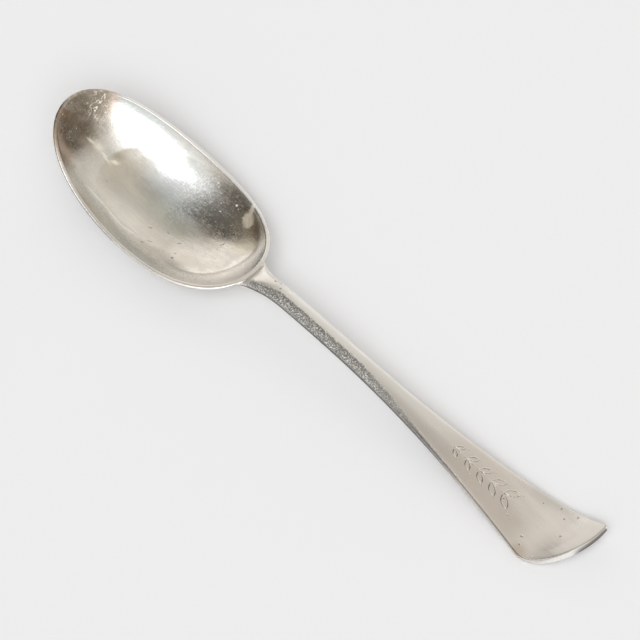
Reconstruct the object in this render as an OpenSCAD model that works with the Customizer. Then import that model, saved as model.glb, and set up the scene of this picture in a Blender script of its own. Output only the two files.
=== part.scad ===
// Teaspoon of the old hand-made kind: a raised, egg-shaped bowl, a forged handle with an arched stem and an
// upturned fan-shaped end, and the solder that holds the handle's drop under the bowl's heel.
// +X runs from the bowl's tip to the handle's end, +Z is up, and the spoon rests on the plane z = 0.

/* [Spoon] */
// Length from the bowl's tip to the handle's end
spoon_length = 140; // [125:1:180]

/* [Bowl] */
// Length of the bowl over its rim
bowl_length = 53.3; // [45:0.1:64]
// Width of the bowl over its rim, at the middle of its length
bowl_width = 28.2; // [23:0.1:34]
// Thickness of the bowl's wall and width of its flat rim
wall = 0.9; // [0.7:0.05:1.3]
// Radius of the worn edges along the rim
rim_edge = 0.2; // [0.1:0.05:0.3]
// Height of the upright band that is filed round the rim's outside
rim_band = 0.4; // [0.2:0.05:0.7]
// Height of the rim above the table at the tip
tip_rim_height = 14.6; // [11:0.2:18]
// Height of the rim above the table half way along the bowl
mid_rim_height = 6.2; // [5.4:0.1:8]
// Height of the rim above the table at the heel
heel_rim_height = 6.8; // [6:0.1:8.5]

/* [Stem] */
// Width of the stem where it is slimmest
stem_width = 4; // [3.2:0.1:5]
// Width of the handle's root where it meets the heel
root_width = 5; // [4:0.1:6.4]
// Thickness of the handle at its root
root_thickness = 3.5; // [2.8:0.1:4.2]
// Height of the stem's upper face at the top of its arch
arch_height = 8.7; // [7.6:0.1:10.5]
// Distance from the heel to the top of the arch
arch_reach = 9.5; // [7:0.5:13]
// Distance from the heel to the slimmest place
slim_reach = 23; // [17:1:30]

/* [Fan] */
// Width of the fan-shaped end
fan_width = 18.4; // [14:0.1:23]
// Thickness of the fan near its end
fan_thickness = 1.3; // [1:0.05:1.7]
// Radius of the worn edges along the fan's end
fan_edge = 0.2; // [0.1:0.05:0.3]
// Height of the soft ridge down the middle of the fan
ridge_height = 0.25; // [0.1:0.05:0.4]
// Length of the end that is turned up
upturn_length = 9; // [7:0.5:12]
// Height to which the end is turned up
upturn_height = 2.2; // [1.2:0.1:3]
// How far the end's edge bows out over half the fan's width
end_bow = 2.6; // [2:0.1:4]
// Radius of the sharper corner of the end
sharp_corner = 0.9; // [0.6:0.1:1.6]
// Radius of the corner that wear has rounded
worn_corner = 3; // [1.8:0.1:4]

/* [Drop] */
// Width of the lap joint on the outside of the heel
joint_width = 9.6; // [7.5:0.1:11.5]
// Thickness of the drop at its edge
drop_thickness = 0.5; // [0.35:0.05:0.7]
// Width of the solder fillet round the drop
bead_width = 0.6; // [0.4:0.05:0.9]
// Gap that the solder fills between the bowl and what is laid on it
solder_gap = 0.05; // [0.03:0.01:0.1]

/* [Hidden] */

// Counts of facets: round the bowl, down its wall, round the handle, and along its stem, root, seat and end
bowl_sides = 84;
wall_rows = 15;
handle_sides = 40;
stem_rows = 34;
root_rows = 14;
seat_rows = 7;
corner_rows = 7;

// Small steps for finding a slope: along the handle, and round and down the bowl's wall
slope_step_share = 0.001;
turn_step = 1;
wall_step_share = 0.98;

// Shape of the bowl's outline: how much fuller the heel end is, and how blunt both ends are
egg_share = 0.035;
blunt_share = 0.075;
// Where the bowl is deepest, from its tip
deepest_share = 0.52;
// Fullness of the wall's curve (2 is an ellipse) and how far out along that curve the rim cuts it
tip_fullness_share = 1.9;
side_fullness_share = 2;
heel_fullness_share = 2.15;
tip_cut_share = 0.86;
side_cut_share = 0.76;
heel_cut_share = 0.89;

// How the stem thins and the fan spreads along the handle
thinning_share = 0.6;
spread_share = 2.1;
root_spread_share = 4.4;
fall_share = 1.4;
// Squareness of the handle's cross-section at the stem, in the fan and at its end (2 is an ellipse)
stem_square_share = 2.5;
fan_square_share = 9;
end_square_share = 12;
// How softly the fan's ridge is rounded along its crest
crest_share = 1.5;
// Part of the handle over which its end bows, and where across the fan the end reaches furthest
bow_start_share = 0.72;
end_peak_share = 0.7;

// The lap joint on the bowl's outside: how far down the drop reaches and where the joint is widest,
// as shares of the way from the deepest point to the rim, and how square its upper and lower halves are
drop_tip_share = 0.56;
shoulder_share = 0.9;
upper_square_share = 3.4;
lower_square_share = 2;
// Thickness of the joint's edge at the rim, where it is filed down, as a share of the drop's
filed_edge_share = 0.4;
// How far past the shoulders the solder shows, in degrees round the joint's outline
bead_rise = 36;
// How far the stem runs on before its root bends, where the bend lies in height and width, and where it lies
// on the upper face, in height and in the distance to the arch
stem_run_share = 0.62;
knee_height_share = 0.35;
knee_width_share = 0.1;
top_knee_height_share = 0.4;
top_knee_reach_share = 0.12;

// Places along the spoon
tip_x = -spoon_length / 2;
end_x = spoon_length / 2;
heel_x = tip_x + bowl_length;
deepest_x = tip_x + bowl_length * deepest_share;
arch_x = heel_x + arch_reach;
slim_x = heel_x + slim_reach;
rest_x = end_x - upturn_length;
heel_half_width = bowl_width / 2 * (1 + egg_share + 2 * blunt_share);

function mix(from, to, share) = from + (to - from) * share;

// A value that has its own amount at the bowl's tip, sides and heel
function round_bowl(angle, tip, side, heel) =
    side + (tip - heel) / 2 * cos(angle) + ((tip + heel) / 2 - side) * pow(cos(angle), 2);

// The rim's outline: angle 0 is the tip, 90 and 270 the sides and 180 the heel
function rim_x(angle, inset) =
    tip_x + inset + (bowl_length / 2 - inset) * (1 - cos(angle));
function rim_y(angle, inset) =
    (bowl_width / 2 - inset) * sin(angle) * (1 - egg_share * cos(angle) + blunt_share * (1 + cos(2 * angle)));
function rim_z(angle) = round_bowl(angle, tip_rim_height, mid_rim_height, heel_rim_height);

// The rim's worn edges, which are filed sharp where the handle's upper face meets the heel, and the foot of
// its outer band, which runs out on each side of the joint
function worn_edge(angle) =
    cos(angle) > 0 ? rim_edge : mix(solder_gap, rim_edge, min(1, pow(2 * rim_y(angle, 0) / joint_width, 4)));
function past_joint(angle) =
    cos(angle) > 0 ? 1 : sin(90 * min(1, max(0, 2 * abs(rim_y(angle, 0)) / joint_width - 1)));
function band_foot(angle) = worn_edge(angle) + rim_band * pow(past_joint(angle), 2);

// How far the wall has risen, from 0 at the deepest point to 1 at the rim
function drawn_up(share, fullness) = 1 - pow(1 - pow(share, fullness), 1 / fullness);
function rise(share, fullness, cut) = drawn_up(share * cut, fullness) / drawn_up(cut, fullness);
function wall_rise(angle, share) =
    rise(share,
         round_bowl(angle, tip_fullness_share, side_fullness_share, heel_fullness_share),
         round_bowl(angle, tip_cut_share, side_cut_share, heel_cut_share));

// A point of the bowl's wall, the given share of the way out from the deepest point
function wall_point(angle, share, inset, floor_z, top_z) = [
    mix(deepest_x, rim_x(angle, inset), share),
    rim_y(angle, inset) * share,
    mix(floor_z, top_z, wall_rise(angle, share))
];
function outer_point(angle, share) = wall_point(angle, share, 0, 0, rim_z(angle) - band_foot(angle));
function inner_point(angle, share) = wall_point(angle, share, wall, wall, rim_z(angle) - worn_edge(angle));
function rim_ring(from, inward_share, drop_share) =
    [for (side = [0 : bowl_sides - 1])
        let (angle = side * 360 / bowl_sides, inset = from + inward_share * worn_edge(angle))
        [rim_x(angle, inset), rim_y(angle, inset), rim_z(angle) - drop_share * worn_edge(angle)]];

// Closed skin over a stack of rings that starts in a point. It ends in a point too, or else the last ring's
// upper half is joined straight across to its lower half.
module skin(start, rings, finish = undef) {
    sides = len(rings[0]);
    half = sides / 2;
    last = (len(rings) - 1) * sides + 1;
    points = [start, each [for (ring = rings) each ring], each is_undef(finish) ? [] : [finish]];
    polyhedron(points, [
        for (side = [0 : sides - 1])
            [0, 1 + (side + 1) % sides, 1 + side],
        for (row = [0 : len(rings) - 2], side = [0 : sides - 1])
            let (next = (side + 1) % sides, low = 1 + row * sides, high = low + sides)
            each [[low + side, low + next, high + next], [low + side, high + next, high + side]],
        if (is_undef(finish))
            for (side = [0 : half - 1])
                let (upper = last + side, lower = last + (sides - side) % sides)
                each [
                    if (side < half - 1) [upper, upper + 1, last + sides - side - 1],
                    if (side > 0) [upper, side < half - 1 ? last + sides - side - 1 : upper + 1, lower]
                ]
        else
            for (side = [0 : sides - 1])
                [last + sides, last + side, last + (side + 1) % sides]
    ]);
}

// The raised bowl: outside from the bottom up, over the band and the flat rim, and down the inside
module bowl() {
    worn_share = 1 - cos(45);
    outside = [for (row = [1 : wall_rows])
        [for (side = [0 : bowl_sides - 1]) outer_point(side * 360 / bowl_sides, sin(90 * row / wall_rows))]];
    inside = [for (row = [wall_rows : -1 : 1])
        [for (side = [0 : bowl_sides - 1]) inner_point(side * 360 / bowl_sides, sin(90 * row / wall_rows))]];
    rim = [
        rim_ring(0, 0, 1),
        rim_ring(0, worn_share, worn_share),
        rim_ring(0, 1, 0),
        rim_ring(wall, -1, 0),
        rim_ring(wall, -worn_share, worn_share)
    ];
    color("silver")
        skin([deepest_x, 0, 0], [each outside, each rim, each inside], [deepest_x, 0, wall]);
}

// The handle's own sizes at a place along it
function handle_share(x) = max(0, x - arch_x) / (end_x - arch_x);
function thickness(x) = mix(root_thickness, fan_thickness, pow(max(0, x - heel_x) / (end_x - heel_x), thinning_share));
function half_width(x) =
    x > slim_x
        ? mix(stem_width, fan_width, pow((x - slim_x) / (end_x - slim_x), spread_share)) / 2
        : mix(stem_width, root_width, pow((slim_x - x) / slim_reach, root_spread_share)) / 2;
function squareness(x) =
    mix(stem_square_share, fan_square_share, handle_share(x))
    + (end_square_share - fan_square_share) * min(1, max(0, x - (path_end - worn_corner)) / worn_corner);

// Height of the handle's underside: up from the heel to the arch, down to the table, and up again at the end
root_under = heel_rim_height - root_thickness;
arch_under = arch_height - thickness(arch_x);
function under_z(x) =
    x < arch_x ? mix(root_under, arch_under, sin(90 * max(0, x - heel_x) / arch_reach))
    : x < rest_x ? arch_under * pow(cos(90 * (x - arch_x) / (rest_x - arch_x)), fall_share)
    : upturn_height * pow((x - rest_x) / upturn_length, 2);
function middle_z(x) = under_z(x) + thickness(x) / 2;
function slope(x) =
    let (step = spoon_length * slope_step_share)
    atan2(middle_z(x + step) - middle_z(x - step), 2 * step);

// The end's edge bows, its furthest place lies to one side, and its two corners differ. The corners and the
// worn edge draw in alike, as a quarter circle that ends where the handle does.
function bow(x, across) =
    -end_bow * pow(across - end_peak_share, 2)
    * pow(max(0, (x - tip_x) / spoon_length - bow_start_share) / (1 - bow_start_share), 2);
function corner(across) = across < 0 ? worn_corner : sharp_corner;
path_end = end_x - (fan_thickness / 2 - fan_edge) * sin(slope(end_x));
function inset_to_end(x, radius) =
    let (into = max(0, x - (path_end - radius)) / radius)
    radius * (1 - sqrt(max(0, 1 - into * into)));

// A point of the handle's surface: turn 0 and 180 are its edges, 90 its upper face and 270 its underside
function handle_point(x, turn) =
    let (across = -cos(turn) * (1 - inset_to_end(x, corner(-cos(turn))) / half_width(x)),
         place = x + bow(x, across),
         height = pow(1 - pow(abs(cos(turn)), squareness(x)), 1 / squareness(x)),
         crest = pow(1 - pow(abs(cos(turn)), crest_share), 2),
         upper = sin(turn) < 0 ? 0 : ridge_height * handle_share(x) * crest,
         lift = sign(sin(turn)) * (thickness(place) / 2 - inset_to_end(x, fan_edge)) * height + upper,
         tilt = slope(place))
    [
        place - lift * sin(tilt),
        across * half_width(place),
        middle_z(place) + lift * cos(tilt)
    ];
function handle_ring(x) =
    [for (side = [0 : handle_sides - 1]) handle_point(x, side * 360 / handle_sides)];

// The lap joint lies on the bowl's outside, up to the rim. Reach 1 is its outline and 0 its middle.
function heel_angle(y, share) = 180 - asin(y / (share * heel_half_width));
function seat_share(turn, reach) =
    let (square = sin(turn) > 0 ? upper_square_share : lower_square_share,
         height = pow(1 - pow(abs(cos(turn)), square), 1 / square))
    sin(turn) > 0
        ? mix(shoulder_share, 1, height * min(1, reach))
        : mix(shoulder_share, drop_tip_share, height * reach);
function seat_surface(turn, reach) =
    let (share = seat_share(turn, reach),
         y = -cos(turn) * reach * joint_width / 2)
    outer_point(heel_angle(y, share), share);
function seat_normal(turn, reach) =
    let (share = seat_share(turn, reach),
         angle = heel_angle(-cos(turn) * reach * joint_width / 2, share),
         along = outer_point(angle + turn_step, share) - outer_point(angle - turn_step, share),
         out = outer_point(angle, share) - outer_point(angle, share * wall_step_share),
         normal = cross(out, along))
    normal / norm(normal);
function seat_point(turn, reach, lift) = seat_surface(turn, reach) + seat_normal(turn, reach) * lift;
function seat_ring(reach, lift) =
    [for (side = [0 : handle_sides - 1]) seat_point(side * 360 / handle_sides, reach, lift)];

// The edge of the joint is as thick as the drop, and thins towards the rim
function edge_point(turn) =
    seat_point(turn, 1, drop_thickness * mix(1, filed_edge_share, max(0, sin(turn))));

// The root's curve runs on from the stem and bends at the knee to meet the joint's edge
function knee_point(turn) =
    let (stem = handle_point(arch_x, turn),
         edge = edge_point(turn),
         upper = max(0, sin(turn)))
    [
        heel_x + mix(drop_thickness, arch_reach * top_knee_reach_share, upper),
        mix(stem.y, edge.y, knee_width_share),
        mix(edge.z, stem.z, mix(knee_height_share, top_knee_height_share, upper))
    ];
function root_ring(share) =
    [for (side = [0 : handle_sides - 1])
        let (turn = side * 360 / handle_sides,
             stem = handle_point(arch_x, turn),
             rest = 1 - share)
        pow(rest, 3) * stem
            + 3 * pow(rest, 2) * share * (stem - [arch_reach * stem_run_share, 0, 0])
            + 3 * rest * pow(share, 2) * knee_point(turn)
            + pow(share, 3) * edge_point(turn)];

// The forged handle, from the middle of its seat on the bowl to its upturned end
module handle() {
    seat = [for (row = [1 : seat_rows]) seat_ring(row / seat_rows, solder_gap)];
    root = [for (row = [root_rows : -1 : 0]) root_ring(row / root_rows)];
    corner_x = path_end - worn_corner;
    stem = [for (row = [1 : stem_rows]) handle_ring(mix(arch_x, corner_x, row / stem_rows))];
    turned_end = [for (row = [1 : corner_rows]) handle_ring(corner_x + worn_corner * sin(90 * row / corner_rows))];
    color("gainsboro")
        skin(seat_point(90, 0, solder_gap), [each seat, each root, each stem, each turned_end]);
}

// Solder fillet round the drop's edge, from one side of the rim down round the drop and up to the other side.
// Each section runs from the foot of the joint's edge to its top and out to the bowl.
module solder_bead() {
    spread = 1 + 2 * bead_width / joint_width;
    past_shoulder = round(handle_sides * bead_rise / 360);
    stations = handle_sides / 2 + 2 * past_shoulder;
    points = [
        for (side = [0 : stations])
            let (turn = 180 + (side - past_shoulder) * 360 / handle_sides)
            each [
                seat_point(turn, 1, solder_gap),
                edge_point(turn),
                seat_point(turn, spread, solder_gap)
            ]
    ];
    color("darkgray")
        polyhedron(points, [
            [2, 1, 0],
            [3 * stations, 3 * stations + 1, 3 * stations + 2],
            for (side = [0 : stations - 1], edge = [0 : 2])
                let (low = 3 * side + edge, next = 3 * side + (edge + 1) % 3)
                each [[low, next, next + 3], [low, next + 3, low + 3]]
        ]);
}

bowl();
handle();
solder_bead();
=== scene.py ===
"""An old hand-made silver teaspoon on a white table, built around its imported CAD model, in metres."""

import math
from types import SimpleNamespace

import bmesh
import bpy
from mathutils import Matrix, Vector, noise
from mathutils.bvhtree import BVHTree


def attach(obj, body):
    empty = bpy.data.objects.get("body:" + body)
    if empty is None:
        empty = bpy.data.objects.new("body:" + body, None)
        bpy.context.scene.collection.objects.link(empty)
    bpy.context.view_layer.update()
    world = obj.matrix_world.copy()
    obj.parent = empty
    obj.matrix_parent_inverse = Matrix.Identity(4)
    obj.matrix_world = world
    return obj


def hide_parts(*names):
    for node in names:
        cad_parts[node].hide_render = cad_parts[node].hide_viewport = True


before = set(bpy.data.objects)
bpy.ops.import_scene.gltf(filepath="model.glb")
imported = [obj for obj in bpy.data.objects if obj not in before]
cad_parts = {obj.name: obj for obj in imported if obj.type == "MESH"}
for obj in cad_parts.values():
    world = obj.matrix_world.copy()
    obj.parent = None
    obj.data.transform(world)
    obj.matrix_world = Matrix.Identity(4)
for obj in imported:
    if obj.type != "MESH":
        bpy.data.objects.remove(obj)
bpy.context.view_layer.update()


# The photographer's view: a long lens, well above the table, with the spoon lying from the upper left of the
# picture to the lower right. The view's own ground axes are right and away, and the spoon is turned and set
# off a little from the point that the lens looks at.
VIEW_DISTANCE = 0.6
VIEW_ELEVATION = math.radians(58)
SPOON_TURN = math.radians(-44.68)
SPOON_OFFSET = Vector((-0.001125, -0.005115, 0))
PHOTO_WIDTH = 640
PIXELS_PER_METRE = 5040
SENSOR_WIDTH = 36
NEAREST_SEEN, FARTHEST_SEEN = 0.01, 10

view_to_row = Matrix.Rotation(-SPOON_TURN, 4, "Z") @ Matrix.Translation(-SPOON_OFFSET)
lens_place = Vector((0, -math.cos(VIEW_ELEVATION), math.sin(VIEW_ELEVATION))) * VIEW_DISTANCE
camera_data = bpy.data.cameras.new("camera")
camera_data.sensor_width = SENSOR_WIDTH
camera_data.lens = SENSOR_WIDTH * PIXELS_PER_METRE * VIEW_DISTANCE / PHOTO_WIDTH
camera_data.clip_start = NEAREST_SEEN
camera_data.clip_end = FARTHEST_SEEN
camera = bpy.data.objects.new("camera", camera_data)
camera.location = view_to_row @ lens_place
camera.rotation_euler = (view_to_row @ Vector() - camera.location).to_track_quat("-Z", "Y").to_euler()
bpy.context.scene.collection.objects.link(camera)
bpy.context.scene.camera = camera
bpy.context.scene.view_settings.view_transform = "Standard"


# The studio: a plain room with a broad window of soft daylight low behind the lens, a lit wall beyond the
# table and darker corners to the left and the right. The picture shows it only as the spoon reflects it.
ROOM_COLOUR = (0.7, 0.68, 0.645, 1)
# Azimuth, elevation, inner and outer angle in degrees, and the colour seen there, each laid over the last.
# Azimuth 0 is the picture's right and 90 is away from the lens.
ROOM_PATCHES = (
    (70, 82, 2, 24, (0.54, 0.525, 0.5, 1)),
    (346, 14, 18, 34, (0.3, 0.27, 0.23, 1)),
    (12, 13, 6, 16, (0.2, 0.18, 0.155, 1)),
    (61, 27, 9, 25, (0.87, 0.86, 0.835, 1)),
    (130, 50, 10, 21, (0.06, 0.057, 0.05, 1)),
    (153, 49, 12, 22, (0.17, 0.165, 0.155, 1)),
    (177, 39, 10, 20, (0.14, 0.135, 0.125, 1)),
    (150, 28, 8, 18, (0.2, 0.18, 0.15, 1)),
    (188, 8, 10, 24, (0.13, 0.125, 0.12, 1)),
    (105, 26, 11, 23, (1.12, 1.08, 1.03, 1)),
    (104, 54, 3, 11, (0.5, 0.49, 0.46, 1)),
)
WINDOW_COLOUR = (0.98, 1, 1.03, 1)
WINDOW_STRENGTH = 3.15
GLOW_STRENGTH = 0.3
# Azimuth, elevation, inner and outer angle of the window's three lights and of the glow round them
WINDOW_PATCHES = ((277, 44, 4, 20), (248, 51, 5, 21), (222, 63, 2, 12))
GLOW_PATCH = (246, 54, 20, 50)


def add_node(tree, kind, inputs=None, **settings):
    """A node of that kind, with its settings, and its inputs given by name or number as values or sockets."""
    node = tree.nodes.new(kind)
    for name, value in settings.items():
        setattr(node, name, value)
    for name, value in (inputs or {}).items():
        if isinstance(value, bpy.types.NodeSocket):
            tree.links.new(value, node.inputs[name])
        else:
            node.inputs[name].default_value = value
    return node


def add_math(tree, operation, first, second=0.0):
    """The result of a Math node."""
    return add_node(tree, "ShaderNodeMath", {0: first, 1: second}, operation=operation).outputs[0]


def add_product(tree, product, *factors):
    """The product of two or more values."""
    for factor in factors:
        product = add_math(tree, "MULTIPLY", product, factor)
    return product


def add_largest(tree, largest, *others):
    """The largest of some values."""
    for value in others:
        largest = add_math(tree, "MAXIMUM", largest, value)
    return largest


def add_vector_math(tree, operation, first, second=None, scale=None):
    """The result of a Vector Math node: a number for a length, a distance or a dot product, else a vector."""
    given = {0: first, 1: second, "Scale": scale}
    inputs = {name: value for name, value in given.items() if value is not None}
    outputs = add_node(tree, "ShaderNodeVectorMath", inputs, operation=operation).outputs
    return outputs["Value" if operation in ("LENGTH", "DISTANCE", "DOT_PRODUCT") else "Vector"]


def add_ramp(tree, value, low, high, floor=0.0, top=1.0):
    """A smooth step of the value, from floor at low to top at high."""
    inputs = {"Value": value, "From Min": low, "From Max": high, "To Min": floor, "To Max": top}
    return add_node(tree, "ShaderNodeMapRange", inputs, interpolation_type="SMOOTHSTEP").outputs[0]


def add_mix(tree, share, first, second):
    """A colour between two colours, which is the second where the share is 1."""
    return add_node(tree, "ShaderNodeMix", {0: share, 6: first, 7: second}, data_type="RGBA").outputs[2]


def add_patch(tree, direction, azimuth, elevation, inner, outer):
    """1 in the sky within the inner angle of a direction, falling to 0 at the outer one, in degrees."""
    azimuth, elevation = math.radians(azimuth), math.radians(elevation)
    centre = (
        math.cos(azimuth) * math.cos(elevation),
        math.sin(azimuth) * math.cos(elevation),
        math.sin(elevation),
    )
    nearness = add_vector_math(tree, "DOT_PRODUCT", direction, centre)
    return add_ramp(tree, nearness, math.cos(math.radians(outer)), math.cos(math.radians(inner)))


world = bpy.data.worlds.new("studio")
bpy.context.scene.world = world
world.use_nodes = True
tree = world.node_tree
tree.nodes.clear()
direction = add_node(tree, "ShaderNodeTexCoord").outputs["Generated"]
turn_back = {"Vector": direction, "Rotation": (0, 0, SPOON_TURN)}
direction = add_node(tree, "ShaderNodeMapping", turn_back).outputs[0]
room = ROOM_COLOUR
for *patch, colour in ROOM_PATCHES:
    room = add_mix(tree, add_patch(tree, direction, *patch), room, colour)
window = add_largest(tree, *[add_patch(tree, direction, *patch) for patch in WINDOW_PATCHES])
window = add_product(tree, window, WINDOW_STRENGTH)
glow = add_product(tree, add_patch(tree, direction, *GLOW_PATCH), GLOW_STRENGTH)
window = add_math(tree, "ADD", window, glow)
room_light = add_node(tree, "ShaderNodeBackground", {"Color": room}).outputs[0]
daylight = add_node(tree, "ShaderNodeBackground", {"Color": WINDOW_COLOUR, "Strength": window}).outputs[0]
both = add_node(tree, "ShaderNodeAddShader", {0: room_light, 1: daylight}).outputs[0]
add_node(tree, "ShaderNodeOutputWorld", {"Surface": both})


# The table: a flat, matt white top that fills the picture and takes the spoon's soft shadow.
# It is part of the studio and not of the spoon.
TABLE_SIZE = 6
TABLE_COLOUR = (0.86, 0.865, 0.88, 1)
TABLE_ROUGHNESS = 0.9

table_mesh = bpy.data.meshes.new("table")
bm = bmesh.new()
bmesh.ops.create_grid(bm, x_segments=1, y_segments=1, size=TABLE_SIZE / 2)
bm.to_mesh(table_mesh)
bm.free()
table = bpy.data.objects.new("table", table_mesh)
bpy.context.scene.collection.objects.link(table)
material = bpy.data.materials.new("white_table")
material.use_nodes = True
shader = material.node_tree.nodes["Principled BSDF"]
shader.inputs["Base Color"].default_value = TABLE_COLOUR
shader.inputs["Roughness"].default_value = TABLE_ROUGHNESS
shader.inputs["Specular IOR Level"].default_value = 0
table_mesh.materials.append(material)


# Old silver's surface, which all the pieces share: short scratches that run every way, the grain left by
# polishing, a fine matt frost, small dark specks that are pits, and sparks: small dents that the bowl paints
# as glints.
MILLIMETRES = 1000
# Each set of scratches: its turn in degrees, its scale along and across, and the noise value where they start
SCRATCH_SETS = (
    (20, 0.45, 4.6, 0.58), (-38, 0.5, 5.2, 0.59), (75, 0.5, 4.8, 0.6), (-75, 0.6, 5.4, 0.6),
    (48, 0.4, 5, 0.61),
)
SCRATCH_EDGE = 0.08
BROKEN_RAMP = (0.35, 0.6, 0.2)
FROST_RAMP = (0.42, 0.66)
# How many to the millimetre, how rare they are, and how far out from their middle they fade
SPECKS = (0.45, 0.86, (0.07, 0.03))
SPARKS = (1.5, 0.72, (0.2, 0.08))


def add_noise(tree, place, scale, detail=3.0, roughness=0.5, output=0):
    """Noise at a place, as a value or as the named output."""
    inputs = {"Vector": place, "Scale": scale, "Detail": detail, "Roughness": roughness}
    return add_node(tree, "ShaderNodeTexNoise", inputs).outputs[output]


def add_stretched(tree, place, scale, turn=0):
    """The place scaled along each axis and turned about Z by some degrees, for lines that run one way."""
    inputs = {"Vector": place, "Rotation": (0, 0, math.radians(turn)), "Scale": scale}
    return add_node(tree, "ShaderNodeMapping", inputs).outputs[0]


def add_dots(tree, place, scale, rarity, fade):
    """Small round dots here and there."""
    cells = add_node(tree, "ShaderNodeTexVoronoi", {"Vector": place, "Scale": scale}).outputs
    random = add_node(tree, "ShaderNodeSeparateColor", {0: cells["Color"]}).outputs[0]
    chosen = add_math(tree, "GREATER_THAN", random, rarity)
    return add_product(tree, add_ramp(tree, cells["Distance"], *fade), chosen)


wear = bpy.data.node_groups.new("silver_wear", "ShaderNodeTree")
wear.interface.new_socket(name="Place", in_out="INPUT", socket_type="NodeSocketVector")
place = add_node(wear, "NodeGroupInput").outputs["Place"]
scratch_lines = []
for turn, along, across, start in SCRATCH_SETS:
    lengthened = add_stretched(wear, place, (along, across, across), turn)
    scratch_lines.append(add_ramp(wear, add_noise(wear, lengthened, 1, 2, 0.6), start, start + SCRATCH_EDGE))
broken = add_ramp(wear, add_noise(wear, place, 0.5, 3, 0.6), *BROKEN_RAMP)
wear_values = {
    "Scratches": add_product(wear, add_largest(wear, *scratch_lines), broken),
    "Grain": add_noise(wear, place, 2.4, 3, 0.6),
    "Frost": add_ramp(wear, add_noise(wear, place, 3.6, 3, 0.75), *FROST_RAMP),
    "Specks": add_dots(wear, place, *SPECKS),
    "Sparks": add_dots(wear, place, *SPARKS),
}
for name in wear_values:
    wear.interface.new_socket(name=name, in_out="OUTPUT", socket_type="NodeSocketFloat")
add_node(wear, "NodeGroupOutput", wear_values)


def new_silver(name):
    """A new metal material, and its node tree and shader."""
    material = bpy.data.materials.new(name)
    material.use_nodes = True
    shader = material.node_tree.nodes["Principled BSDF"]
    shader.inputs["Metallic"].default_value = 1
    return material, material.node_tree, shader


def read_surface(tree):
    """What a material reads at a point: its place in millimetres, the way that it faces, and its wear."""
    coordinates = add_node(tree, "ShaderNodeTexCoord").outputs
    place = add_vector_math(tree, "SCALE", coordinates["Object"], scale=MILLIMETRES)
    worn = tree.nodes.new("ShaderNodeGroup")
    worn.node_tree = wear
    tree.links.new(place, worn.inputs["Place"])
    return SimpleNamespace(
        place=place,
        at=add_node(tree, "ShaderNodeSeparateXYZ", {0: place}).outputs,
        normal=coordinates["Normal"],
        facing=add_node(tree, "ShaderNodeSeparateXYZ", {0: coordinates["Normal"]}).outputs,
        worn=worn.outputs,
    )


def add_bump(tree, height, depth):
    """A bump of that depth in millimetres for a height value of 1."""
    inputs = {"Height": height, "Strength": 1, "Distance": depth / MILLIMETRES}
    return add_node(tree, "ShaderNodeBump", inputs).outputs[0]


# The bowl: one sheet of silver raised with a hammer into an egg-shaped bowl, filed flat along its rim and
# polished. Years of use have scratched its inside, pitted it and left it stained at the tip and the heel.
BOWL_SILVER = (0.76, 0.73, 0.675, 1)
BOWL_DULL = (0.6, 0.565, 0.505, 1)
UNDERSIDE_SILVER = (0.86, 0.84, 0.8, 1)
RIM_HIGHLIGHT = (0.98, 0.97, 0.95, 1)
RIM_EDGE_SHADE = (0.33, 0.31, 0.3, 1)
HEEL_TABLE_REFLECTION = (0.98, 0.955, 0.91, 1)
HEEL_WARM_TABLE_REFLECTION = (0.97, 0.89, 0.81, 1)
WARM_BLOOM = (0.72, 0.65, 0.52, 1)
LEFT_BLOOM = (0.78, 0.725, 0.63, 1)
BLUE_HIGHLIGHT_HALO = (0.68, 0.74, 0.77, 1)
OLIVE_BLOOM = (0.62, 0.63, 0.52, 1)
PINK_BLOOM = (0.74, 0.6, 0.52, 1)
TIP_WARM = (0.42, 0.32, 0.24, 1)
TIP_ORANGE = (0.75, 0.52, 0.36, 1)
FROST_WARM = (0.72, 0.63, 0.53, 1)
SPOT_PALE = (1, 0.9, 0.76, 1)
CRUMB_HIGHLIGHT = (0.93, 0.97, 1, 1)
GLINT_PALE = (0.95, 0.93, 0.86, 1)
GLINT_YELLOW = (1, 0.95, 0.8, 1)
# Brown for the real stains and the solder, and also laid as painted shade beside the glint, in the middle,
# under the rim and along the heel's fold
BROWN_STAIN_AND_SHADE = (0.3, 0.25, 0.19, 1)
PIT_DARK = (0.14, 0.12, 0.1, 1)
# Each mark is an ellipse in millimetres: its middle, its half size along and across, and its turn in
# degrees. A bloom is a mark with the share and the colour that are laid over it.
BOWL_BLOOMS = (
    (((-57, -0.5), (8, 4), 5), 0.5, WARM_BLOOM),
    (((-43, 6), (9, 6), -10), 0.6, BLUE_HIGHLIGHT_HALO),
    (((-58, 10), (9, 2.6), 5), 0.6, BLUE_HIGHLIGHT_HALO),
    (((-22, -9), (6.5, 4.6), 20), 0.9, HEEL_TABLE_REFLECTION),
    (((-25.5, 7.5), (5.5, 3.6), -35), 0.8, WARM_BLOOM),
    (((-20.3, -3), (2.6, 7), 0), 0.8, HEEL_TABLE_REFLECTION),
    (((-42, -0.5), (6, 2.6), 0), 0.6, OLIVE_BLOOM),
    (((-45, -8), (15, 4.5), 0), 0.5, LEFT_BLOOM),
    (((-50, -3.6), (5.5, 2.2), 0), 0.5, BOWL_DULL),
    (((-26.5, -8), (3.5, 2.2), 10), 0.5, HEEL_TABLE_REFLECTION),
)
TIP_PLACE = ((-67, 0), (5.5, 8.5), 0)
TIP_CORNER = ((-68.2, -3.6), (1, 2.4), -30)
TIP_SIDE = ((-65, -8), (5.5, 2.6), -25)
TIP_PINK = ((-65.2, 7.2), (1.5, 2), 0)
TIP_EDGE_STAIN = ((-67.8, -4.5), (1.6, 4), -35)
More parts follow.
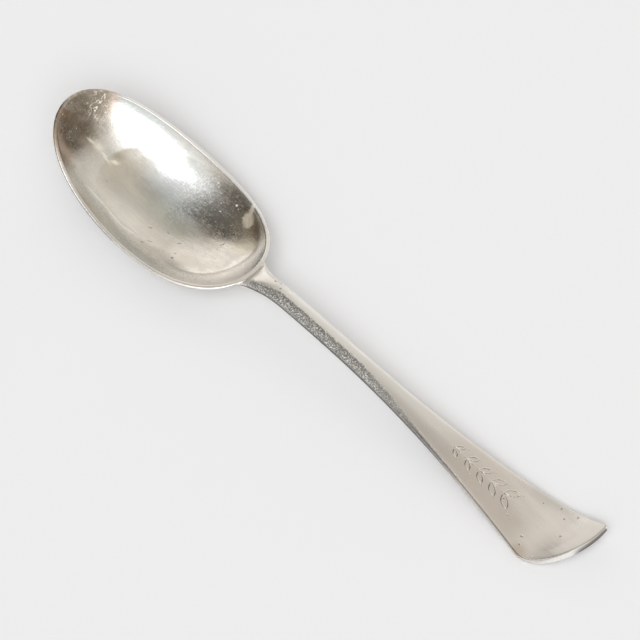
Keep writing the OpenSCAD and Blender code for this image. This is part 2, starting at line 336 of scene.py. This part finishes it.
# Painted shade beside the glint, in the middle, at the dark core and under the rim; the heel's and the wall's
# stains are real
GLINT_SHADE = ((-58.2, 1.1), (1.8, 0.7), 30)
CENTRE_SHADE = ((-38, -0.4), (6, 2), 5)
HEEL_STAIN = ((-24.5, 10), (3.4, 1.5), -45)
DARK_CORE_SHADE = ((-33.2, 4), (3.6, 2.6), 15)
RIM_SHADE = ((-37, 11.8), (6, 1.2), -12)
WALL_STAIN = ((-35.5, -8.4), (6.5, 1.3), 8)
FROSTED_PLACE = ((-34.8, 7.7), (8, 6.4), -20)
CRUMBLED_PLACE = ((-40.8, 6.2), (3.2, 5.6), -8)
SCRATCHED_PLACE = ((-66, 4), (1.5, 2.2), 10)
SMOOTH_HEEL = ((-26, -4), (7, 8), 10)
HEEL_SPOTS = (
    ((-28.2, 9.4), (1.5, 1), -60), ((-27.2, 8.8), (0.9, 1.2), 0), ((-28.7, 11.3), (1.5, 0.5), -70),
)
HEEL_BROWN = (
    ((-24.5, 8.4), (1.7, 0.9), -40), ((-22.6, 6.9), (1.7, 0.7), -50), ((-29.7, 10.8), (0.7, 0.45), 0),
    ((-27.2, 10.9), (1.6, 0.3), -55),
)
TIP_BLOTCHES = (
    ((-67, 5), (2.6, 2.2), 0), ((-68.8, 4), (1.6, 2.6), 20), ((-64.6, -0.6), (1.3, 1.9), 0),
    ((-66.6, 2.4), (1.2, 1.6), 30), ((-63.2, -4.6), (0.8, 1.5), -20),
)
GLINT_MARKS = (
    ((-62.3, -1.2), (1.1, 0.3), 20), ((-61, -0.7), (1, 0.8), 15), ((-59, -0.9), (1.5, 0.3), -6),
    ((-57.1, -0.1), (0.9, 0.35), 40),
)
BRIGHT_MARKS = (
    ((-53, -8.6), (2.8, 0.26), 2), ((-48, -8.8), (2.6, 0.22), -6), ((-43.8, -8.7), (2, 0.18), 12),
)
DENT_GLINTS = (
    ((-32.2, 10.3), (0.26, 0.22), 0), ((-38.6, 11.4), (0.18, 0.14), 0), ((-34.3, 7.6), (0.16, 0.12), 0),
)
BOWL_PITS = (
    ((-40, -8.7), (0.3, 0.12), 30), ((-33.7, -5.6), (0.16, 0.12), 0), ((-33.2, -6.9), (0.2, 0.16), 0),
    ((-35.1, -3.1), (0.4, 0.12), 45), ((-28.3, 2.3), (0.5, 0.1), 70), ((-39.3, -7.2), (0.4, 0.08), 40),
    ((-38.6, -2.8), (0.25, 0.14), 0), ((-55, -4), (0.16, 0.1), 0), ((-42, -4.6), (0.5, 0.08), 20),
)
# The fold where the heel's wall starts: part of a circle seen from above, and the wall outside it
FOLD_CENTRE = (-33, 3, 0)
FOLD_RADIUS = 11.7
FOLD_OUTER, FOLD_INNER, WALL_FADE = 1.2, 0.4, 1.5
# Seen from above the bowl is close to an ellipse. The way from its middle, stretched by this, points outward.
BOWL_MIDDLE = (-43.5, 0, 0)
OUTWARD_STRETCH = (1, 3.5, 0)
RIM_HEIGHT_RAMP = (4.9, 5.4)
EDGE_SLANT = 0.5
# A mark lies on the surface at any height, so its half size in height is far more than the spoon's
MARK_HALF_HEIGHT = 1000
# How much each mark roughens the polished silver, and how far it stands out or goes in, in millimetres
BOWL_POLISH_RAMP = (0.3, 0.7, 0.1, 0.2)
BOWL_ROUGHENING = {
    "frosted": -0.02, "speckle": 0.08, "lines": 0.3, "bright": 0.25, "glint": 0.25, "soft_rim": 0.22,
    "heel_wall": 0.16, "sparks": 0.5, "heel_spots": 0.3, "crinkle": 0.3, "crumbs": 0.12,
}
BOWL_RELIEF = {
    "grain": 0.003, "speckle": 0.003, "lines": -0.006, "crinkle": 0.03, "bright": 0.02, "pits": -0.05,
}


def add_spot(tree, place, mark, softness=0.5):
    """1 inside a mark's ellipse, falling softly to 0 outside it."""
    middle, half_size, turn = mark
    inputs = {
        "Vector": place,
        "Location": (*middle, 0),
        "Rotation": (0, 0, math.radians(turn)),
        "Scale": (*half_size, MARK_HALF_HEIGHT),
    }
    across = add_node(tree, "ShaderNodeMapping", inputs, vector_type="TEXTURE").outputs[0]
    return add_ramp(tree, add_vector_math(tree, "LENGTH", across), 1 + softness, 1 - softness)


def add_marks(tree, place, marks, softness=0.5):
    """1 on each of the marks."""
    return add_largest(tree, *[add_spot(tree, place, mark, softness) for mark in marks])


def add_shuffled(tree, place, scale, amount):
    """The place moved about by noise, so that what is drawn on it gets an uneven edge."""
    moves = add_noise(tree, place, scale, 4, 0.6, "Color")
    moves = add_vector_math(tree, "SUBTRACT", moves, (0.5, 0.5, 0.5))
    return add_vector_math(tree, "ADD", place, add_vector_math(tree, "SCALE", moves, scale=amount))


def add_stain(tree, colour, mask, share, stain):
    """The colour, with that share of a stain over it where the mask is 1."""
    return add_mix(tree, add_product(tree, mask, share), colour, stain)


def add_shares(tree, total, masks, shares, only=None):
    """The total with the share that belongs to each named mask added where that mask is 1."""
    for name, share in shares.items():
        mask = masks[name] if only is None else add_product(tree, masks[name], only)
        total = add_math(tree, "ADD", total, add_product(tree, mask, share))
    return total


material, tree, shader = new_silver("bowl_silver")
point = read_surface(tree)
shuffled = add_shuffled(tree, point.place, 0.55, 3.5)
fine_shuffled = add_shuffled(tree, point.place, 1.6, 0.7)
at_rim = add_ramp(tree, point.at["Z"], *RIM_HEIGHT_RAMP)
inside = add_ramp(tree, point.facing["Z"], -0.04, 0.04)

# Dull patina and streaks over the whole sheet, then the broad blooms inside the bowl: tarnish tints, a bluish
# painted halo round the highlight, and painted reflections of the white table on the heel's wall
patina = add_noise(tree, point.place, 0.16, 5, 0.6)
streaks = add_noise(tree, add_stretched(tree, point.place, (0.07, 1.5, 1.5)), 1, 4, 0.6)
colour = add_mix(tree, add_ramp(tree, patina, 0.38, 0.68, 0, 0.75), BOWL_SILVER, BOWL_DULL)
colour = add_mix(tree, add_ramp(tree, streaks, 0.42, 0.66, 0, 0.5), colour, BOWL_DULL)
for mark, share, bloom in BOWL_BLOOMS:
    colour = add_stain(tree, colour, add_spot(tree, shuffled, mark), share, bloom)

# The frosted places at the tip and the heel, with their stains, and some painted shade
tip = add_spot(tree, shuffled, TIP_PLACE, 0.3)
frosted = add_largest(tree, add_spot(tree, shuffled, FROSTED_PLACE), tip)
colour = add_stain(tree, colour, frosted, 0.4, FROST_WARM)
heel_spots = add_marks(tree, add_shuffled(tree, fine_shuffled, 0.9, 1.6), HEEL_SPOTS)
colour = add_stain(tree, colour, heel_spots, 0.8, SPOT_PALE)
colour = add_stain(tree, colour, add_spot(tree, fine_shuffled, TIP_CORNER), 0.7, TIP_ORANGE)
colour = add_stain(tree, colour, add_spot(tree, shuffled, TIP_SIDE), 0.9, TIP_WARM)
colour = add_stain(tree, colour, add_spot(tree, fine_shuffled, TIP_PINK), 0.7, PINK_BLOOM)
mottle = add_ramp(tree, add_noise(tree, point.place, 0.9, 3, 0.6), 0.38, 0.6, 0.2, 1)
# Brown over the tip's mottle and the real stains; the marks beside the glint, in the middle, at the dark core
# and under the rim are painted shade
for mask, share in (
    (add_product(tree, tip, mottle), 0.52),
    (add_marks(tree, fine_shuffled, TIP_BLOTCHES, 0.6), 0.6),
    (add_spot(tree, shuffled, TIP_EDGE_STAIN), 0.4),
    (add_spot(tree, fine_shuffled, GLINT_SHADE, 0.7), 0.35),
    (add_spot(tree, shuffled, CENTRE_SHADE, 0.8), 0.2),
    (add_spot(tree, shuffled, HEEL_STAIN), 0.3),
    (add_marks(tree, fine_shuffled, HEEL_BROWN, 0.7), 0.6),
    (add_spot(tree, shuffled, DARK_CORE_SHADE), 0.25),
    (add_spot(tree, fine_shuffled, RIM_SHADE, 0.6), 0.3),
    (add_spot(tree, shuffled, WALL_STAIN), 0.3),
):
    colour = add_stain(tree, colour, mask, share, BROWN_STAIN_AND_SHADE)

# Painted shade along the fold round the heel, and a warm painted reflection of the white table on the rougher
# wall outside it
flat = add_vector_math(tree, "MULTIPLY", fine_shuffled, (1, 1, 0))
reach = add_vector_math(tree, "DISTANCE", flat, FOLD_CENTRE)
fold = add_product(
    tree,
    add_ramp(tree, reach, FOLD_RADIUS + FOLD_OUTER, FOLD_RADIUS),
    add_ramp(tree, reach, FOLD_RADIUS - FOLD_INNER, FOLD_RADIUS),
    add_ramp(tree, point.at["X"], -36, -26),
)
heel_wall = add_product(
    tree,
    add_ramp(tree, reach, FOLD_RADIUS, FOLD_RADIUS + WALL_FADE),
    add_ramp(tree, point.at["Y"], 6, -2),
    add_ramp(tree, point.at["X"], -36, -28),
)
colour = add_stain(tree, colour, heel_wall, 0.6, HEEL_WARM_TABLE_REFLECTION)
colour = add_stain(tree, colour, fold, 0.5, BROWN_STAIN_AND_SHADE)

# Painted highlights on pale flecks beside the dark place, on crinkled scratches at the tip, on bright lines,
# sparks and dents, and the yellow glint; then the dark pits
crumbs = add_ramp(tree, add_noise(tree, fine_shuffled, 2.2, 2, 0.6), 0.44, 0.6, 0.15, 1)
crumbs = add_product(tree, crumbs, add_spot(tree, shuffled, CRUMBLED_PLACE, 0.9))
colour = add_stain(tree, colour, crumbs, 0.75, CRUMB_HIGHLIGHT)
crinkle = add_math(tree, "SUBTRACT", add_noise(tree, fine_shuffled, 0.8, 1, 0.5), 0.5)
crinkle = add_ramp(tree, add_math(tree, "ABSOLUTE", crinkle), 0.035, 0.012)
crinkle = add_product(tree, crinkle, add_spot(tree, shuffled, SCRATCHED_PLACE))
bright = add_largest(tree, add_marks(tree, fine_shuffled, BRIGHT_MARKS), crinkle)
sparks = add_product(tree, point.worn["Sparks"], frosted)
sparks = add_largest(tree, sparks, add_marks(tree, point.place, DENT_GLINTS, 0.4))
colour = add_mix(tree, add_largest(tree, bright, sparks), colour, GLINT_PALE)
glint = add_marks(tree, fine_shuffled, GLINT_MARKS, 0.85)
colour = add_mix(tree, glint, colour, GLINT_YELLOW)
pits = add_marks(tree, fine_shuffled, BOWL_PITS, 0.4)
pits = add_largest(tree, pits, add_product(tree, point.worn["Specks"], 0.35))
colour = add_stain(tree, colour, pits, 0.7, PIT_DARK)

# The rim: a painted highlight on its flat top, and a painted shade line round its outer edge
rim = add_product(
    tree,
    add_ramp(tree, point.facing["Z"], 0.7, 0.9),
    at_rim,
    add_ramp(tree, point.at["Y"], -2, 6, 0.35),
    add_ramp(tree, point.at["X"], -66, -61),
)
soft_rim = add_product(tree, rim, add_ramp(tree, point.at["X"], -26, -34, 0.3))
rim_highlight = add_product(tree, rim, add_ramp(tree, point.at["X"], -20, -30, 0.7))
colour = add_mix(tree, rim_highlight, colour, RIM_HIGHLIGHT)
from_middle = add_vector_math(tree, "SUBTRACT", point.place, BOWL_MIDDLE)
outward = add_vector_math(tree, "NORMALIZE", add_vector_math(tree, "MULTIPLY", from_middle, OUTWARD_STRETCH))
leaning = add_ramp(tree, add_vector_math(tree, "DOT_PRODUCT", outward, point.normal), 0.3, 0.6)
slanted = add_math(tree, "SUBTRACT", point.at["X"], add_product(tree, point.at["Y"], EDGE_SLANT))
rim_edge_shade = add_product(tree, leaning, at_rim, add_ramp(tree, slanted, -33.5, -38))
colour = add_stain(tree, colour, rim_edge_shade, 0.8, RIM_EDGE_SHADE)
underside = add_mix(tree, add_ramp(tree, patina, 0.38, 0.68, 0, 0.6), UNDERSIDE_SILVER, BOWL_DULL)
tree.links.new(add_mix(tree, inside, underside, colour), shader.inputs["Base Color"])

scratched = add_ramp(tree, frosted, 0, 1, 0.35, 0.6)
masks = {
    "frosted": frosted,
    "grain": point.worn["Grain"],
    "speckle": add_product(tree, point.worn["Frost"], frosted),
    "lines": add_product(tree, point.worn["Scratches"], scratched),
    "bright": bright,
    "glint": glint,
    "sparks": sparks,
    "crinkle": crinkle,
    "crumbs": crumbs,
    "pits": pits,
    "heel_spots": heel_spots,
    "heel_wall": heel_wall,
    "soft_rim": soft_rim,
}
rough = add_ramp(tree, point.worn["Grain"], *BOWL_POLISH_RAMP)
rough = add_shares(tree, rough, masks, BOWL_ROUGHENING, inside)
tree.links.new(rough, shader.inputs["Roughness"])
streak_relief = add_ramp(tree, frosted, 0, 1, 0.02, 0.004)
smoothed = add_ramp(tree, add_spot(tree, point.place, SMOOTH_HEEL), 0, 1, 1, 0.25)
height = add_product(tree, streaks, streak_relief, smoothed)
height = add_shares(tree, height, masks, BOWL_RELIEF, inside)
tree.links.new(add_bump(tree, height, 1), shader.inputs["Normal"])

# The hammered hollows, in millimetres: how far apart, how deep, and a finer set between them
HAMMER_WAVE = 7
HAMMER_DEPTH = 0.03
FINE_HOLLOWS_SHARE = 0.5
FINE_HOLLOWS_SCALE = 2.1
MERGE_DISTANCE = 1e-6
BOWL_SEED = 3
# Where the bowl is hammered, as starts and lengths: where it faces up or down, and clear of the joint
BOWL_FACE_FADE = (0.6, 0.3)
HEEL_START = -0.024
HEEL_FADE = 0.006
BOWL_SMOOTHING = 2


def merged_copy(node):
    """The CAD node's shape with its triangles merged and paired into quads."""
    bm = bmesh.new()
    bm.from_mesh(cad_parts[node].data)
    bmesh.ops.remove_doubles(bm, verts=bm.verts, dist=MERGE_DISTANCE)
    bmesh.ops.join_triangles(
        bm, faces=bm.faces, angle_face_threshold=math.radians(60), angle_shape_threshold=math.radians(80)
    )
    for face in bm.faces:
        face.smooth = True
    return bm


def step_up(value, start, length):
    """0 up to the start, and then up to 1 over that length."""
    return max(0, min(1, (value - start) / length))


def hammer(bm, share_at, seed):
    """Uneven hammered hollows, pressed into the surface by the share that the function gives for a vertex."""
    bm.normal_update()
    moves = []
    for vert in bm.verts:
        place = vert.co * MILLIMETRES / HAMMER_WAVE + Vector((seed, seed, seed))
        unevenness = noise.noise(place) + FINE_HOLLOWS_SHARE * noise.noise(place * FINE_HOLLOWS_SCALE)
        depth = unevenness * HAMMER_DEPTH / MILLIMETRES
        moves.append(vert.normal * (-abs(depth) * share_at(vert)))
    for vert, move in zip(bm.verts, moves):
        vert.co += move


def finish_piece(bm, name, node, material, levels):
    """The finished object, which takes the CAD node's place."""
    mesh = bpy.data.meshes.new(name)
    bm.to_mesh(mesh)
    bm.free()
    mesh.materials.append(material)
    piece = bpy.data.objects.new(name, mesh)
    bpy.context.scene.collection.objects.link(piece)
    finer = piece.modifiers.new("finer", "SUBSURF")
    finer.levels = levels
    finer.render_levels = levels
    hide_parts(node)
    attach(piece, "root")
    return piece


def bowl_share(vert):
    """Hollows inside the bowl and under it, but none along the rim or at the joint."""
    return step_up(abs(vert.normal.z), *BOWL_FACE_FADE) * step_up(HEEL_START - vert.co.x, 0, HEEL_FADE)


bm = merged_copy("bowl")
hammer(bm, bowl_share, BOWL_SEED)
finish_piece(bm, "silver_bowl", "bowl", material, BOWL_SMOOTHING)


# The handle: forged from one bar, arched behind the heel and beaten out into a fan. Its face is worn satin
# with small pits, and the flank on one side of the stem is dark and granular where the cast skin was left.
HANDLE_SILVER = (0.93, 0.898, 0.862, 1)
HANDLE_DULL = (0.8, 0.765, 0.705, 1)
FAN_WARM = (0.8, 0.72, 0.635, 1)
FAN_SHADE_GREY = (0.6, 0.56, 0.51, 1)
END_SHADE_GREY = (0.6, 0.577, 0.545, 1)
HIGHLIGHT_WHITE = (1, 0.98, 0.93, 1)
END_HIGHLIGHT_PINK = (1, 0.935, 0.87, 1)
END_SHADE_DARK = (0.12, 0.1, 0.085, 1)
EDGE_SHADE_DARK = (0.14, 0.135, 0.13, 1)
FLANK_DARK = (0.25, 0.24, 0.22, 1)
FLANK_LIGHT = (0.95, 0.94, 0.9, 1)
WARM_STAIN = (0.62, 0.48, 0.33, 1)
HANDLE_BLOOMS = (
    (((29, -1.9), (15, 1.9), -5), 0.8, FAN_SHADE_GREY),
    (((45, -2.2), (11, 3.6), -7), 0.75, FAN_SHADE_GREY),
    (((50, -2), (15, 7), -4), 0.8, FAN_WARM),
    (((62, -2), (3.6, 6.5), 0), 0.8, END_HIGHLIGHT_PINK),
    (((9, 0.8), (25, 2), 0), 0.35, HIGHLIGHT_WHITE),
    (((69.5, 0), (4.2, 14), 0), 0.9, END_SHADE_GREY),
    (((57, 0.6), (6, 2), -12), 0.45, END_HIGHLIGHT_PINK),
    (((60, 7), (8, 1.5), 20), 0.4, FAN_SHADE_GREY),
    (((-12, 0.8), (2.5, 2), 0), 0.35, FAN_SHADE_GREY),
)
CORNER_STAIN = ((60.4, -6.4), (1.6, 1.3), 20)
# The flank's upper border, in millimetres: its place across the stem, and where and how far it runs out
FLANK_BORDER = -0.15
FLANK_RUN_RAMP = (10, 46, 0, 3.6)
FLANK_ROOT_RAMP = (-8, -15, 0, 1.3)
# Middle and radius of each pit, in millimetres
HANDLE_PITS = (
    (51.3, -0.6, 0.2), (52.8, 1.7, 0.14), (54.2, -2.6, 0.2), (59, -3.8, 0.24), (59.8, -5.3, 0.18),
    (64.3, 1.2, 0.22), (60.4, 5.9, 0.2), (64, 6.6, 0.22), (63.6, -5.5, 0.14), (62.2, 4.6, 0.16),
    (-11.7, 0.9, 0.16), (-9.7, 0.3, 0.2), (-10.6, 1.3, 0.12), (42.6, -0.4, 0.14), (57.2, 4.4, 0.12),
)
HANDLE_SATIN_RAMP = (0.3, 0.7, 0.26, 0.32)
FLANK_ROUGHENING = 0.14
STREAK_RELIEF = 0.03
HANDLE_RELIEF = {"scratches": -0.0003, "pits": -0.05, "grit": 0.06}

material, tree, shader = new_silver("handle_silver")
point = read_surface(tree)
fine_shuffled = add_shuffled(tree, point.place, 1.6, 0.7)
patina = add_noise(tree, point.place, 0.12, 4, 0.55)
streaks = add_noise(tree, add_stretched(tree, point.place, (0.08, 0.6, 0.6)), 1, 2, 0.5)
colour = add_mix(tree, add_ramp(tree, patina, 0.35, 0.7, 0, 0.6), HANDLE_SILVER, HANDLE_DULL)
colour = add_mix(tree, add_ramp(tree, streaks, 0.4, 0.7, 0, 0.5), colour, HANDLE_DULL)
# Tone patches: a warm tint on the fan, painted shade on the flank's side of the stem and fan, at one edge of
# the fan near the end and by the joint, painted highlights along the stem, near the end and beside the ridge,
# and painted shade over the upturned end
for mark, share, bloom in HANDLE_BLOOMS:
    colour = add_stain(tree, colour, add_spot(tree, fine_shuffled, mark, 0.7), share, bloom)
colour = add_stain(tree, colour, add_spot(tree, fine_shuffled, CORNER_STAIN, 0.8), 0.5, WARM_STAIN)

# The granular flank, whose ragged upper border is darkest
border = add_math(tree, "SUBTRACT", FLANK_BORDER, add_ramp(tree, point.at["X"], *FLANK_RUN_RAMP))
border = add_math(tree, "SUBTRACT", border, add_ramp(tree, point.at["X"], *FLANK_ROOT_RAMP))
ragged = add_node(tree, "ShaderNodeSeparateXYZ", {0: fine_shuffled}).outputs["Y"]
flank = add_product(
    tree,
    add_ramp(tree, add_math(tree, "SUBTRACT", ragged, border), 0.25, -0.3),
    add_ramp(tree, point.at["X"], 46, 34),
    add_ramp(tree, point.at["X"], -19, -14),
)
grit = add_noise(tree, add_stretched(tree, point.place, (3.2, 4.6, 4.6)), 1, 3, 0.7)
grit = add_ramp(tree, grit, 0.46, 0.62)
granular = add_mix(tree, grit, FLANK_DARK, FLANK_LIGHT)
depth_in = add_math(tree, "SUBTRACT", border, ragged)
upper_band = add_product(tree, add_ramp(tree, depth_in, 0, 0.25), add_ramp(tree, depth_in, 0.9, 0.4))
granular = add_stain(tree, granular, upper_band, 0.3, FLANK_DARK)
flank_strength = add_ramp(tree, point.at["X"], 6, 40, 1, 0.55)
colour = add_mix(tree, add_product(tree, flank, flank_strength), colour, granular)

# Painted shade on the stem's side edge over a painted highlight line, painted shade on the fan's shoulder,
# and a painted highlight on the end's thickness with a painted dark reflection over one half of it
sideways = add_ramp(tree, point.facing["Y"], -0.75, -0.92)
edge = add_product(
    tree,
    add_ramp(tree, point.facing["Z"], -0.25, -0.1),
    add_ramp(tree, point.facing["Z"], 0.15, 0),
    sideways,
    add_ramp(tree, point.at["X"], 44, 30, 0.3),
)
colour = add_stain(tree, colour, edge, 0.9, EDGE_SHADE_DARK)
under_edge_highlight = add_product(tree, sideways, add_ramp(tree, point.facing["Z"], -0.15, -0.3))
under_edge_highlight = add_product(tree, under_edge_highlight, add_ramp(tree, point.at["X"], 40, 25))
colour = add_mix(tree, under_edge_highlight, colour, HIGHLIGHT_WHITE)
shoulder = add_product(
    tree,
    add_ramp(tree, point.facing["Y"], -0.15, -0.4),
    add_ramp(tree, point.facing["Z"], 0.1, 0.35),
    add_ramp(tree, point.at["X"], 14, 34),
)
colour = add_stain(tree, colour, shoulder, 0.75, EDGE_SHADE_DARK)
end_face_highlight = add_ramp(tree, point.facing["X"], 0.55, 0.8)
end_face_highlight = add_product(tree, end_face_highlight, add_ramp(tree, point.at["X"], 58, 63))
colour = add_mix(tree, end_face_highlight, colour, HIGHLIGHT_WHITE)
end_dark_reflection = add_ramp(tree, point.facing["X"], 0.8, 0.92)
end_dark_reflection = add_product(tree, end_dark_reflection, add_ramp(tree, point.at["Y"], -0.5, 1.5))
colour = add_stain(tree, colour, end_dark_reflection, 0.9, END_SHADE_DARK)

pits = add_marks(tree, fine_shuffled, [((x, y), (radius, radius), 0) for x, y, radius in HANDLE_PITS], 0.4)
pits = add_largest(tree, pits, add_product(tree, point.worn["Specks"], 0.25))
colour = add_stain(tree, colour, pits, 0.6, PIT_DARK)
tree.links.new(colour, shader.inputs["Base Color"])
rough = add_ramp(tree, patina, *HANDLE_SATIN_RAMP)
rough = add_math(tree, "ADD", rough, add_product(tree, flank, FLANK_ROUGHENING))
tree.links.new(rough, shader.inputs["Roughness"])
masks = {"scratches": point.worn["Scratches"], "pits": pits, "grit": add_product(tree, flank, grit)}
height = add_shares(tree, add_product(tree, streaks, STREAK_RELIEF), masks, HANDLE_RELIEF)
tree.links.new(add_bump(tree, height, 1), shader.inputs["Normal"])

# Where the handle is hammered, as starts and lengths: where it faces up or down, clear of the joint and end
HANDLE_SEED = 8
HANDLE_FACE_FADE = (0.7, 0.25)
STEM_FADE = (0.012, 0.02)
END_START = 0.066
END_FADE = 0.004
HANDLE_SMOOTHING = 2
# A soft ridge on the fan: its line, height and half width in metres, and its waver in millimetres
RIDGE_START = Vector((0.0485, 0.0034))
RIDGE_STOP = Vector((0.0625, 0.0016))
RIDGE_HEIGHT = 0.00012
RIDGE_HALF_WIDTH = 0.0009
RIDGE_WAVER = 0.6
RIDGE_WAVES = 260
RIDGE_SEED = (4, 1)
RIDGE_FADE_SHARE = 0.25
FACES_UP = 0.6


def handle_share(vert):
    """Hollows on the fan's faces and none on its edges or at the joint."""
    clear_of_ends = step_up(vert.co.x, *STEM_FADE) * step_up(END_START - vert.co.x, 0, END_FADE)
    return step_up(abs(vert.normal.z), *HANDLE_FACE_FADE) * clear_of_ends


def raise_ridge(bm, start, stop, height, half_width):
    """A soft, wavering ridge left by the hammer along a line on the upper face."""
    run = stop - start
    for vert in bm.verts:
        place = Vector((vert.co.x, vert.co.y))
        along = (place - start).dot(run) / run.length_squared
        waver = RIDGE_WAVER * noise.noise(Vector((vert.co.x * RIDGE_WAVES, *RIDGE_SEED))) / MILLIMETRES
        aside = (place - start - run * along).dot(Vector((-run.y, run.x)).normalized()) - waver
        fade = step_up(along, 0, RIDGE_FADE_SHARE) * step_up(1 - along, 0, RIDGE_FADE_SHARE)
        if vert.normal.z > FACES_UP and fade:
            vert.co.z += height * fade * math.exp(-((aside / half_width) ** 2))


bm = merged_copy("handle")
hammer(bm, handle_share, HANDLE_SEED)
raise_ridge(bm, RIDGE_START, RIDGE_STOP, RIDGE_HEIGHT, RIDGE_HALF_WIDTH)
handle = finish_piece(bm, "silver_handle", "handle", material, HANDLE_SMOOTHING)


# The bright-cut sprig: a plain spray of leaves along the middle of the fan, each line a narrow cut with a
# painted light side and a painted shaded side, made with a flat graver by hand and worn a little since.
CUT_PAINTED_LIGHT = (0.88, 0.85, 0.8, 1)
CUT_PAINTED_SHADE = (0.16, 0.13, 0.1, 1)
CUT_WIDTH = 0.00036
CUT_LIFT = 0.00005
CUT_SEGMENTS = 12
SWELL_START_SHARE, SWELL_LENGTH_SHARE, SWELL_POWER = 0.08, 0.84, 0.6
ABOVE_FAN = 0.02
LEAF_PAIRS = 5
SPRIG_START = 0.0368
SPRIG_ASIDE = 0.0003
LEAF_STEP = 0.0032
STALK_SHARE = 0.86
STALK_BEND = 0.00018
LEAF_LENGTH = 0.0018
LEAF_GROWTH = 0.00032
LEAF_ROOT_SHARE = 0.3
LEAF_ROOT_ASIDE = 0.0002
# Along and aside from a leaf's root, as shares of its length: its tip, and the bends of its two lines
LEAF_TIP_SHARE = (0.85, 0.62)
OUTER_BEND_SHARE = (0.12, 0.62)
INNER_BEND_SHARE = (0.72, 0.04)
INNER_WIDTH_SHARE = 0.8
# Along and aside: from a leaf's tip to its dot, and from there to the dot's bend and its end
DOT_GAP = (0.0004, 0.0002)
DOT_BEND = (0.00012, 0.00006)
DOT_LENGTH = (0.00026, 0.00008)

material, tree, shader = new_silver("bright_cut_silver")
point = read_surface(tree)
# Painted light and shade: each side of a cut is coloured light or dark by the way that it faces
lit_side = add_math(tree, "SUBTRACT", point.facing["Y"], add_product(tree, point.facing["X"], 0.5))
colour = add_mix(tree, add_ramp(tree, lit_side, -0.1, 0.1), CUT_PAINTED_SHADE, CUT_PAINTED_LIGHT)
colour = add_mix(tree, add_ramp(tree, point.worn["Grain"], 0.4, 0.6, 0, 0.4), colour, HANDLE_DULL)
tree.links.new(colour, shader.inputs["Base Color"])
tree.links.new(add_ramp(tree, point.worn["Grain"], 0.3, 0.7, 0.22, 0.34), shader.inputs["Roughness"])

bpy.context.view_layer.update()
fan = BVHTree.FromObject(handle, bpy.context.evaluated_depsgraph_get())


def cut_stroke(bm, start, bend, stop, width=CUT_WIDTH):
    """One tapering cut along a bent line on the fan's upper face, a low ridge with painted light and shaded
    sides.
    """
    grid = bmesh.ops.create_grid(bm, x_segments=CUT_SEGMENTS, y_segments=2, size=1)
    for vert in grid["verts"]:
        along, across = (vert.co.x + 1) / 2, vert.co.y
        place = start * (1 - along) ** 2 + bend * (2 * along * (1 - along)) + stop * along**2
        heading = ((bend - start) * (1 - along) + (stop - bend) * along).normalized()
        swell = math.sin(math.pi * (SWELL_START_SHARE + SWELL_LENGTH_SHARE * along)) ** SWELL_POWER
        place = place + Vector((-heading.y, heading.x)) * (across * width / 2 * swell)
        top = fan.ray_cast(Vector((place.x, place.y, ABOVE_FAN)), Vector((0, 0, -1)))[0]
        vert.co = Vector((place.x, place.y, top.z + (CUT_LIFT * swell if across == 0 else -CUT_LIFT / 4)))


def to_hand(step, hand, size=1):
    """A step along the sprig and out to one hand of it, times a size."""
    return Vector((size * step[0], size * step[1] * hand))


bm = bmesh.new()
for pair in range(LEAF_PAIRS):
    base = Vector((SPRIG_START + LEAF_STEP * pair, SPRIG_ASIDE))
    bend = base + Vector((LEAF_STEP / 2, STALK_BEND * (-1) ** pair))
    cut_stroke(bm, base, bend, base + Vector((LEAF_STEP * STALK_SHARE, 0)))
    length = LEAF_LENGTH + LEAF_GROWTH * pair
    for hand in (1, -1):
        root = base + Vector((LEAF_STEP * LEAF_ROOT_SHARE, LEAF_ROOT_ASIDE * hand))
        leaf_tip = root + to_hand(LEAF_TIP_SHARE, hand, length)
        cut_stroke(bm, root, root + to_hand(OUTER_BEND_SHARE, hand, length), leaf_tip)
        inner_bend = root + to_hand(INNER_BEND_SHARE, hand, length)
        cut_stroke(bm, root, inner_bend, leaf_tip, CUT_WIDTH * INNER_WIDTH_SHARE)
        dot = leaf_tip + to_hand(DOT_GAP, hand)
        cut_stroke(bm, dot, dot + to_hand(DOT_BEND, hand), dot + to_hand(DOT_LENGTH, hand))
for face in bm.faces:
    face.smooth = False
sprig_mesh = bpy.data.meshes.new("bright_cut_sprig")
bm.to_mesh(sprig_mesh)
bm.free()
sprig_mesh.materials.append(material)
sprig = bpy.data.objects.new("bright_cut_sprig", sprig_mesh)
bpy.context.scene.collection.objects.link(sprig)
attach(sprig, "root")


# The solder: a narrow fillet of dull hard solder round the drop, where the handle laps under the heel.
# It ran into the joint when the two were soldered, and only this edge of it shows.
SOLDER_COLOUR = (0.66, 0.63, 0.56, 1)
SOLDER_ROUGHNESS = 0.42
SOLDER_RELIEF = 0.03
SOLDER_SMOOTHING = 1

material, tree, shader = new_silver("solder")
grain = read_surface(tree).worn["Grain"]
tree.links.new(add_mix(tree, grain, SOLDER_COLOUR, BROWN_STAIN_AND_SHADE), shader.inputs["Base Color"])
shader.inputs["Roughness"].default_value = SOLDER_ROUGHNESS
tree.links.new(add_bump(tree, grain, SOLDER_RELIEF), shader.inputs["Normal"])
finish_piece(merged_copy("solder_bead"), "solder_fillet", "solder_bead", material, SOLDER_SMOOTHING)
